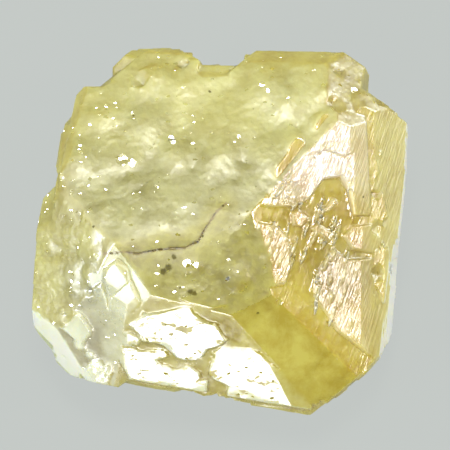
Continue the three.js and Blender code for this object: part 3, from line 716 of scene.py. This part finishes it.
@dataclass
class Crystal:
    """The crystal's skin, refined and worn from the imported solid."""

    node: str = "rough_diamond"
    finish: Diamond = field(default_factory=Diamond)
    weld_mm: float = 0.0005
    octree_depth: int = 8
    octree_scale: float = 0.98
    triangles: int = 190_000
    # A point belongs to the outermost of the faces near it, which give way to each other over
    # this distance, and among those to the ones that it is turned like.
    blend_mm: float = 0.05
    reach_over_mm: float = 0.01
    turn_weight: float = 30
    turn_least: float = 0.9

    # How far each face is worn round: the pebbled ones are, the flat and striated ones are crisp.
    softening: int = 200
    softening_step: float = 0.5
    softness: FaceValues = (
        (Face.CROWN, 1.0), (Face.CENTRE, 0.8), (Face.LEFT, 0.4), (Face.LEFT_RIM, 0.35),
        (Face.TOP_RIM, 0.35), (Face.SHOULDER, 0.3), (Face.LOWER_LEFT, 0.15), (Face.SIDE, 0.09),
        (Face.BRIGHT, 0.006), (Face.STEPPED, 0.006), (Face.AMBER, 0.006), (Face.RIGHT, 0.012),
        (Face.EAST, 0.04), (Face.BASE, 0.0),
    )
    softness_elsewhere: float = 0.15
    softness_of_steeps: float = 0.05
    steep_band: tuple[float, float] = (0.3, 0.65)
    riser_softness: float = 0.07
    riser_band: tuple[float, float] = (0.6, 0.93)
    # Terraces on these faces stay crisp near the face, and are worn further down.
    crisp: tuple[Face, ...] = (Face.BRIGHT, Face.AMBER, Face.STEPPED, Face.RIGHT)
    crisp_left: float = 0.1
    crisp_band_mm: tuple[float, float] = (0.01, 0.08)

    # The relief of the pebbled faces, and the wandering of the edges.
    seed: int = 7
    relief: FaceValues = (
        (Face.CROWN, 0.8), (Face.LEFT, 0.8), (Face.CENTRE, 0.3), (Face.LEFT_RIM, 0.8),
        (Face.TOP_RIM, 0.8),
    )
    relief_mm: float = 0.006
    lump_mm: float = 0.12
    lump_fractal: tuple[float, float, int] = (0.7, 2.0, 2)
    hillock_mm: float = 0.24
    wander_mm: float = 0.03
    wander_size_mm: float = 0.22

    # The crack's path and the marks, across the layout. A mark's third number is its radius.
    crack: tuple[tuple[float, float], ...] = (
        (-2.0, -0.42), (-1.68, -0.39), (-1.4, -0.42), (-1.07, -0.35), (-0.61, -0.32),
        (-0.39, -0.21), (-0.26, 0.02), (-0.07, 0.3), (0.09, 0.44),
    )
    specks: tuple[tuple[float, float, float], ...] = (
        (-0.98, -0.72, 0.075), (-0.9, -0.66, 0.08), (-0.8, -0.47, 0.06), (-0.52, -1.07, 0.07),
        (-0.45, -1.1, 0.055), (-2.18, 0.04, 0.03), (-1.51, 1.96, 0.03), (-0.19, 2.39, 0.035),
        (-0.31, -0.12, 0.03), (0.04, 0.4, 0.03), (2.47, 0.56, 0.03), (2.05, 0.1, 0.03),
        (0.63, -1.44, 0.03), (-0.7, -1.0, 0.03),
    )
    bared: tuple[tuple[float, float, float], ...] = (
        (-1.7, 1.2, 0.11), (-1.53, 1.14, 0.07), (-0.86, 1.58, 0.05), (-0.82, 1.5, 0.045),
        (-0.58, -0.58, 0.07), (-0.45, -0.62, 0.055), (0.72, 2.52, 0.05), (0.8, 2.4, 0.04),
        (2.32, 2.42, 0.06), (-2.0, 1.95, 0.035), (-1.12, 2.25, 0.03), (0.3, 1.6, 0.03),
    )
    mark_height_mm: float = 5.0

    # Colour: plates that stand above their face's ground are painted paler than it, painted glare
    # on top of the lamps' own, and the body is zoned, deeper round the tip and paler out towards
    # the upper rim, where the right face is painted pinkish-white, painted glare too.
    raised: tuple[tuple[Face, str], ...] = (
        (Face.RIGHT, "D4BF7C"), (Face.BRIGHT, "EEEFD0"), (Face.STEPPED, "F0F2DA"),
        (Face.LOWER_LEFT, "EEF0DA"),
    )
    raised_band_mm: tuple[float, float] = (0.006, 0.03)
    # How much of the painted glare, and of the striations, the ground below the plates has.
    ground_share: float = 0.1
    # Painted pinkish-white glare on the upper right face, and the rise across the layout over
    # which it comes in.
    right_glare_colour: str = "EEE2D0"
    right_glare_band: tuple[float, float] = (0.2, 1.1)
    # The lower left face is painted with the stepped face's pale tint towards their edge: painted
    # glare.
    stepped_edge: tuple[float, float] = (-2.2, -1.85)
    stepped_glare_spill: float = 0.6
    deep_zone: float = 0.26
    deep_band: tuple[float, float] = (0.7, 2.1)
    # Each spot: its place across the layout, its reach and its depth of colour.
    deeper_spots: tuple[tuple[float, float, float, float], ...] = (
        (1.05, 2.2, 0.7, 0.12), (-1.3, 1.95, 0.6, 0.12), (-2.35, -0.85, 0.6, 0.25),
        (2.05, -0.75, 0.8, 0.22),
    )
    spot_core: float = 0.3
    crack_zone: str = "ACA210"
    crack_zone_share: float = 0.7
    crack_zone_mm: tuple[float, float] = (0.05, 0.32)

    # Polish: that of the ground between the plates, where the skin is flat, the sheen of the
    # other faces, and where the right face and the ridge above the crack are duller.
    ground_polish: FaceValues = (
        (Face.BRIGHT, 0.65), (Face.RIGHT, 0.9), (Face.STEPPED, 1.0), (Face.LOWER_LEFT, 0.2),
    )
    polish_band_mm: tuple[float, float] = (0.0, 0.02)
    flat_band: tuple[float, float] = (0.85, 0.96)
    sheen: FaceValues = ((Face.CENTRE, 0.2), (Face.LEFT, 0.1), (Face.SHOULDER, 0.15))
    dull_zone: float = 0.3
    dull_band: tuple[float, float] = (-0.6, 0.4)
    ridge_frost: float = 0.6
    ridge_frost_mm: tuple[float, float] = (0.15, 0.5)

    # Wear: the plain faces aren't pebbled, and two are striated.
    plain: FaceValues = (
        (Face.AMBER, 1.0), (Face.BRIGHT, 1.0), (Face.STEPPED, 1.0), (Face.RIGHT, 1.0),
        (Face.SIDE, 0.8), (Face.EAST, 1.0), (Face.LOBE, 1.0),
    )
    pebbling: float = 0.4
    pebbling_everywhere: float = 0.03
    striated_band_mm: tuple[float, float] = (0.005, 0.03)
    side_striation: float = 0.8
    stain: float = 0.65
    stain_mm: tuple[float, float] = (0.01, 0.03)

    def build(self) -> bpy.types.Object:
        """Builds the crystal and dresses it.

        Returns:
            The finished piece.
        """
        mesh = self._softened(self._refined())
        self._wear(mesh)
        mesh = self._thinned(mesh)
        self._paint(mesh)
        specks = self._marks(mesh, self.specks)
        bared = self._marks(mesh, self.bared)
        mesh.transform(Matrix.Scale(MM, 4))
        mesh.materials.clear()
        mesh.materials.append(self.finish.material(specks, bared))
        piece = placed("diamond_crystal", mesh)
        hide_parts(self.node)
        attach(piece, "root")
        LOG.info("crystal: %d faces", len(mesh.polygons))
        return piece

    def _refined(self) -> bpy.types.Mesh:
        """Welds a copy of the solid and cuts its skin into even squares.

        Returns:
            The refined skin, in millimetres.
        """
        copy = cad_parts[self.node].data.copy()
        copy.transform(Matrix.Scale(1 / MM, 4))
        cells = bmesh.new()
        cells.from_mesh(copy)
        bmesh.ops.remove_doubles(cells, verts=cells.verts, dist=self.weld_mm)
        cells.to_mesh(copy)
        cells.free()
        mesh = remade(copy, "REMESH", mode="SHARP", octree_depth=self.octree_depth,
                      scale=self.octree_scale, sharpness=1.0, use_smooth_shade=True)
        LOG.info("even skin: %d faces", len(mesh.polygons))
        return mesh

    def _softened(self, mesh: bpy.types.Mesh) -> bpy.types.Mesh:
        """Rounds the pebbled faces over, and leaves the flat and striated ones crisp.

        Args:
            mesh: the skin, in millimetres.

        Returns:
            The skin, worn round.
        """
        survey = self._surveyed(mesh)
        softness = dict(self.softness)
        soft = survey.together([(f, softness.get(f, self.softness_elsewhere)) for f in Face])
        soft *= smoothstep(survey.turned[:, 2], *self.steep_band, self.softness_of_steeps)
        risers = 1 - survey.facing(Face.RIGHT, *self.riser_band)
        soft += survey.shares[Face.RIGHT] * risers * self.riser_softness
        for face in self.crisp:
            soft *= smoothstep(-survey.heights[face], *self.crisp_band_mm, self.crisp_left)
        return remade(mesh, "SMOOTH", np.clip(soft, 0, 1), factor=self.softening_step,
                      iterations=self.softening)

    def _marks(self, mesh: bpy.types.Mesh,
               marks: tuple[tuple[float, float, float], ...]) -> list[Mark]:
        """Finds where on the skin the marks lie, seen down the near tip.

        Args:
            mesh: the skin, in millimetres.
            marks: each mark's place across the layout and its radius, in millimetres.

        Returns:
            The middle of each mark and its radius, in metres.
        """
        cells = bmesh.new()
        cells.from_mesh(mesh)
        skin = BVHTree.FromBMesh(cells)
        cells.free()
        down = Vector(from_layout(np.array([[0.0, 0.0, -1.0]]))[0])
        found = []
        for a, b, radius in marks:
            above = from_layout(np.array([[a, b, self.mark_height_mm]]))[0]
            hit = skin.ray_cast(Vector(above + np.array(LAYOUT_ORIGIN_MM)), down)[0]
            found.append((hit * MM, radius * MM))
        return found

    def _surveyed(self, mesh: bpy.types.Mesh) -> Survey:
        """Measures the skin against the faces.

        Args:
            mesh: the skin, in millimetres.

        Returns:
            What is known of each of its points.
        """
        count = len(mesh.vertices)
        points, normals = np.empty(count * 3), np.empty(count * 3)
        mesh.vertices.foreach_get("co", points)
        mesh.vertices.foreach_get("normal", normals)
        normals = normals.reshape(-1, 3)
        layout = to_layout(points.reshape(-1, 3))
        turned = turned_to_layout(normals)
        heights = {f: (layout - f.point()) @ f.direction() for f in Face}
        scores = np.column_stack(
            [np.minimum(heights[f], self.reach_over_mm) / self.blend_mm
             + self.turn_weight * np.maximum(turned @ f.direction(), self.turn_least)
             for f in Face]
        )
        weights = np.exp(scores - scores.max(axis=1, keepdims=True))
        weights /= weights.sum(axis=1, keepdims=True)
        shares = {f: weights[:, i] for i, f in enumerate(Face)}
        return Survey(layout, normals, turned, shares, heights)

    def _wear(self, mesh: bpy.types.Mesh) -> None:
        """Wears the skin: each face gets the relief that growth and resorption left on it.

        Args:
            mesh: the skin, in millimetres.
        """
        noise.seed_set(self.seed)
        survey = self._surveyed(mesh)
        places = [Vector(p) for p in survey.layout]
        lumps = np.array([noise.fractal(p / self.lump_mm, *self.lump_fractal) for p in places])
        hillocks = np.array([-noise.voronoi(p / self.hillock_mm)[0][0] ** 2 for p in places])
        depth = np.zeros(len(places))
        for face, share in self.relief:
            relief = lumps * self.relief_mm + hillocks * self.relief_mm
            depth += survey.shares[face] * share * relief
        # Edges wander sideways, along the faces, so that they are nowhere ruled straight.
        wander = np.array([noise.noise_vector(p / self.wander_size_mm) for p in places])
        wander *= self.wander_mm
        wander -= survey.normals * np.sum(wander * survey.normals, axis=1)[:, None]
        ruled = survey.shares[Face.STEPPED] + survey.shares[Face.AMBER]
        wander *= (1 - np.clip(ruled, 0, 1))[:, None]
        points = np.empty(len(places) * 3)
        mesh.vertices.foreach_get("co", points)
        moved = points.reshape(-1, 3) + survey.normals * depth[:, None] + wander
        mesh.vertices.foreach_set("co", moved.ravel())
        mesh.update()

    def _thinned(self, mesh: bpy.types.Mesh) -> bpy.types.Mesh:
        """Leaves out the edges that flat ground doesn't need."""
        return remade(mesh, "DECIMATE",
                      ratio=min(1.0, self.triangles / (2 * len(mesh.polygons))))

    def _paint(self, mesh: bpy.types.Mesh) -> None:
        """Writes the attributes that the finish reads.

        Args:
            mesh: the skin, in millimetres.
        """
        survey = self._surveyed(mesh)
        from_crack = self._from_crack(survey.layout)
        write_attribute(mesh, "tint", self._tints(survey, from_crack))
        write_attribute(mesh, "polish", self._polish(survey, from_crack))
        raised = smoothstep(survey.heights[Face.BRIGHT], *self.raised_band_mm)
        write_attribute(mesh, "plated", survey.shares[Face.BRIGHT] * raised)
        write_attribute(mesh, "wear", self._kinds(survey, from_crack))

    def _tints(self, survey: Survey, from_crack: np.ndarray) -> np.ndarray:
        """Works out each point's colour, painted glare and painted reflection included.

        Args:
            survey: the skin's points.
            from_crack: how far each is from the crack.

        Returns:
            A linear colour for each point.
        """
        a, b = survey.layout[:, 0], survey.layout[:, 1]
        tints = sum(survey.shares[f][:, None] * np.array(f.tint()) for f in Face)
        # Plates that stand above their face's ground are painted paler: painted glare, on top of
        # what the lamps give.
        for face, colour in self.raised:
            plate_glare = survey.shares[face] * smoothstep(survey.heights[face], *self.raised_band_mm)
            tints += plate_glare[:, None] * (np.array(linear(colour)) - tints)
        # The upper right face is painted pinkish-white, most of all on its raised lamellae:
        # painted glare, over the right softbox's own.
        right_glare = survey.shares[Face.RIGHT] * smoothstep(b, *self.right_glare_band)
        right_glare *= smoothstep(survey.heights[Face.RIGHT], *self.raised_band_mm, self.ground_share)
        tints += right_glare[:, None] * (np.array(linear(self.right_glare_colour)) - tints)
        # Towards the stepped face the lower left face takes on its pale tint: painted glare.
        spilled_glare = survey.shares[Face.LOWER_LEFT] * smoothstep(a, *self.stepped_edge)
        spilled_glare *= self.stepped_glare_spill
        tints += spilled_glare[:, None] * (np.array(Face.STEPPED.tint()) - tints)
        inner = survey.shares[Face.CROWN] * (1 - smoothstep(b, *self.deep_band))
        tints *= 1 - self.deep_zone * inner[:, None]
        for spot_a, spot_b, reach, depth in self.deeper_spots:
            spot = np.hypot(a - spot_a, b - spot_b)
            tints *= 1 - depth * (1 - smoothstep(spot, self.spot_core * reach, reach))[:, None]
        beside = (1 - smoothstep(from_crack, *self.crack_zone_mm))[:, None]
        beside *= self.crack_zone_share
        return tints + beside * (np.array(linear(self.crack_zone)) - tints)

    def _polish(self, survey: Survey, from_crack: np.ndarray) -> np.ndarray:
        """Works out each point's polish.

        Args:
            survey: the skin's points.
            from_crack: how far each is from the crack.

        Returns:
            The polish, from -1 where it is dull to 1 where it mirrors.
        """
        polish = survey.shares[Face.AMBER].copy()
        for face, ground in self.ground_polish:
            flat = survey.facing(face, *self.flat_band)
            above = smoothstep(survey.heights[face], *self.polish_band_mm, ground)
            polish += survey.shares[face] * flat * above
        low = survey.shares[Face.RIGHT] * (1 - smoothstep(survey.layout[:, 1], *self.dull_band))
        low *= smoothstep(survey.heights[Face.RIGHT], *self.polish_band_mm)
        polish *= 1 - self.dull_zone * low
        polish += survey.together(self.sheen)
        ridge = survey.shares[Face.CROWN] + survey.shares[Face.CENTRE]
        polish -= self.ridge_frost * ridge * (1 - smoothstep(from_crack, *self.ridge_frost_mm))
        return np.clip(polish, -1, 1)

    def _kinds(self, survey: Survey, from_crack: np.ndarray) -> np.ndarray:
        """Works out how each point is worn.

        Args:
            survey: the skin's points.
            from_crack: how far each is from the crack.

        Returns:
            For each point, how pebbled, striated and stained it is, and a one.
        """
        unpebbled = survey.together(self.plain)
        pebbled = np.clip(1 - unpebbled, 0, 1) * self.pebbling + self.pebbling_everywhere
        striated = survey.shares[Face.RIGHT] * survey.facing(Face.RIGHT, *self.flat_band)
        striated *= smoothstep(survey.heights[Face.RIGHT], *self.striated_band_mm,
                               self.ground_share)
        striated += survey.shares[Face.SIDE] * self.side_striation
        stained = (1 - smoothstep(from_crack, *self.stain_mm)) * self.stain
        return np.column_stack((pebbled, striated, stained, np.ones(len(stained))))

    def _from_crack(self, layout: np.ndarray) -> np.ndarray:
        """Measures how far each point is from the crack's path, seen down the near tip.

        Args:
            layout: the points, in the layout.

        Returns:
            The distances, in millimetres, and infinity on the far side of the crystal.
        """
        nearest = np.full(len(layout), np.inf)
        for start, end in zip(self.crack, self.crack[1:]):
            start, run = np.array(start), np.array(end) - np.array(start)
            reach = layout[:, :2] - start
            along = np.clip(reach @ run / (run @ run), 0, 1)
            away = np.linalg.norm(reach - along[:, None] * run, axis=1)
            nearest = np.minimum(nearest, away)
        return np.where(layout[:, 2] > 0, nearest, np.inf)


@dataclass(frozen=True)
class Softbox:
    """A square light, by where it stands as seen from the crystal."""

    name: str
    azimuth: float
    elevation: float
    half_angle: float
    radiance: float
    colour: str
    distance_mm: float = 80.0
    aim_height_mm: float = 2.0

    def build(self) -> None:
        """Hangs the light, turned to the crystal."""
        azimuth, elevation = math.radians(self.azimuth), math.radians(self.elevation)
        towards = Vector((math.sin(azimuth) * math.cos(elevation),
                          -math.cos(azimuth) * math.cos(elevation), math.sin(elevation)))
        side = 2 * self.distance_mm * MM * math.tan(math.radians(self.half_angle))
        data = bpy.data.lights.new(self.name, "AREA")
        data.size = side
        data.energy = self.radiance * math.pi * side**2
        data.color = linear(self.colour)[:3]
        lamp = placed(self.name, data)
        lamp.location = Vector((0, 0, self.aim_height_mm * MM)) + towards * self.distance_mm * MM
        lamp.rotation_mode = "QUATERNION"
        lamp.rotation_quaternion = towards.to_track_quat("Z", "Y")


@dataclass(frozen=True)
class Card:
    """Matt card that glows a little: an even, pale ground with hardly a shadow on it."""

    colour: str = "2A2C2B"
    roughness: float = 0.9
    specular: float = 0.1
    glow_colour: str = "C4C9C6"
    glow: float = 0.935

    def material(self) -> bpy.types.Material:
        """Builds the material.

        Returns:
            The material.
        """
        made = bpy.data.materials.new("pale matt card")
        made.use_nodes = True
        nodes = NodeTree(made.node_tree)
        shader = nodes.add("ShaderNodeBsdfPrincipled", {
            "Base Color": linear(self.colour), "Roughness": self.roughness,
            "Specular IOR Level": self.specular, "Emission Color": linear(self.glow_colour),
            "Emission Strength": self.glow,
        })
        nodes.add("ShaderNodeOutputMaterial", {"Surface": shader.outputs["BSDF"]})
        return made


@dataclass
class Studio:
    """A pale floor, soft light all round, and the camera above the crystal's front."""

    floor_half_m: float = 1.5
    card: Card = field(default_factory=Card)
    sky_colour: str = "FFFFFF"
    sky: float = 0.22
    # A long lens. The view's middle lies four pixels right of the layout's origin and above it.
    lens_mm: float = 350.0
    sensor_mm: float = 36.0
    view_mm: float = VIEW_PIXELS / PIXELS_PER_MM
    centre_mm: tuple[float, float] = (4 / PIXELS_PER_MM, 4 / PIXELS_PER_MM)
    clip_range: tuple[float, float] = (0.1, 100.0)
    softboxes: tuple[Softbox, ...] = (
        Softbox("overhead softbox", 0.0, 88.0, 7.0, 38.0, "FFFEF0"),
        Softbox("front softbox", -3.0, 18.0, 6.0, 11.0, "FFFFFF"),
        Softbox("right softbox", 77.0, 39.5, 5.5, 20.0, "FFF0EC"),
        Softbox("left softbox", -31.0, 23.0, 7.0, 3.3, "F8FFF4"),
        Softbox("low left softbox", -19.0, 11.5, 3.5, 10.0, "FFFFFF"),
        Softbox("far left softbox", -105.0, 40.0, 12.0, 3.0, "FFFFFF"),
        Softbox("corner softbox", -58.0, 28.0, 9.0, 18.0, "F4FAFF"),
        Softbox("far right softbox", 112.0, 20.0, 9.0, 13.0, "F4FAFF"),
    )

    def build(self) -> None:
        """Builds the floor, the lights, the sky and the camera."""
        self._floor()
        for softbox in self.softboxes:
            softbox.build()
        self._sky()
        self._camera()
        LOG.info("studio: %d softboxes", len(self.softboxes))

    def _floor(self) -> None:
        """Lays a wide matt floor under the crystal."""
        cells = bmesh.new()
        bmesh.ops.create_grid(cells, x_segments=1, y_segments=1, size=self.floor_half_m)
        mesh = bpy.data.meshes.new("floor")
        cells.to_mesh(mesh)
        cells.free()
        floor = placed("floor", mesh)
        mesh.materials.append(self.card.material())

    def _sky(self) -> None:
        """Lights the scene evenly from all round."""
        world = bpy.data.worlds.new("studio")
        bpy.context.scene.world = world
        world.use_nodes = True
        nodes = NodeTree(world.node_tree)
        sky = nodes.add("ShaderNodeBackground", {
            "Color": linear(self.sky_colour), "Strength": self.sky,
        })
        nodes.add("ShaderNodeOutputWorld", {"Surface": sky.outputs["Background"]})

    def _camera(self) -> None:
        """Sets up the camera, which looks straight down the crystal's near tip."""
        data = bpy.data.cameras.new("camera")
        data.sensor_width = self.sensor_mm
        data.lens = self.lens_mm
        distance = self.lens_mm / self.sensor_mm * self.view_mm * MM
        data.clip_start, data.clip_end = (distance * share for share in self.clip_range)
        right = Vector((1, 0, 0))
        up = Vector((0, math.cos(LEAN), math.sin(LEAN)))
        back = right.cross(up)
        camera = placed("camera", data)
        aim = Vector(LAYOUT_ORIGIN_MM) + right * self.centre_mm[0] + up * self.centre_mm[1]
        turn = Matrix((right, up, back)).transposed().to_4x4()
        camera.matrix_world = Matrix.Translation(aim * MM + back * distance) @ turn
        bpy.context.scene.camera = camera


def main() -> None:
    """Builds the crystal and the studio."""
    logging.basicConfig(level=logging.INFO, format="%(name)s: %(message)s")
    Crystal().build()
    Studio().build()
    scene = bpy.context.scene
    scene.view_settings.view_transform = "Standard"
    scene.cycles.max_bounces = BOUNCES
    scene.cycles.transmission_bounces = BOUNCES


if __name__ == "__main__":
    main()
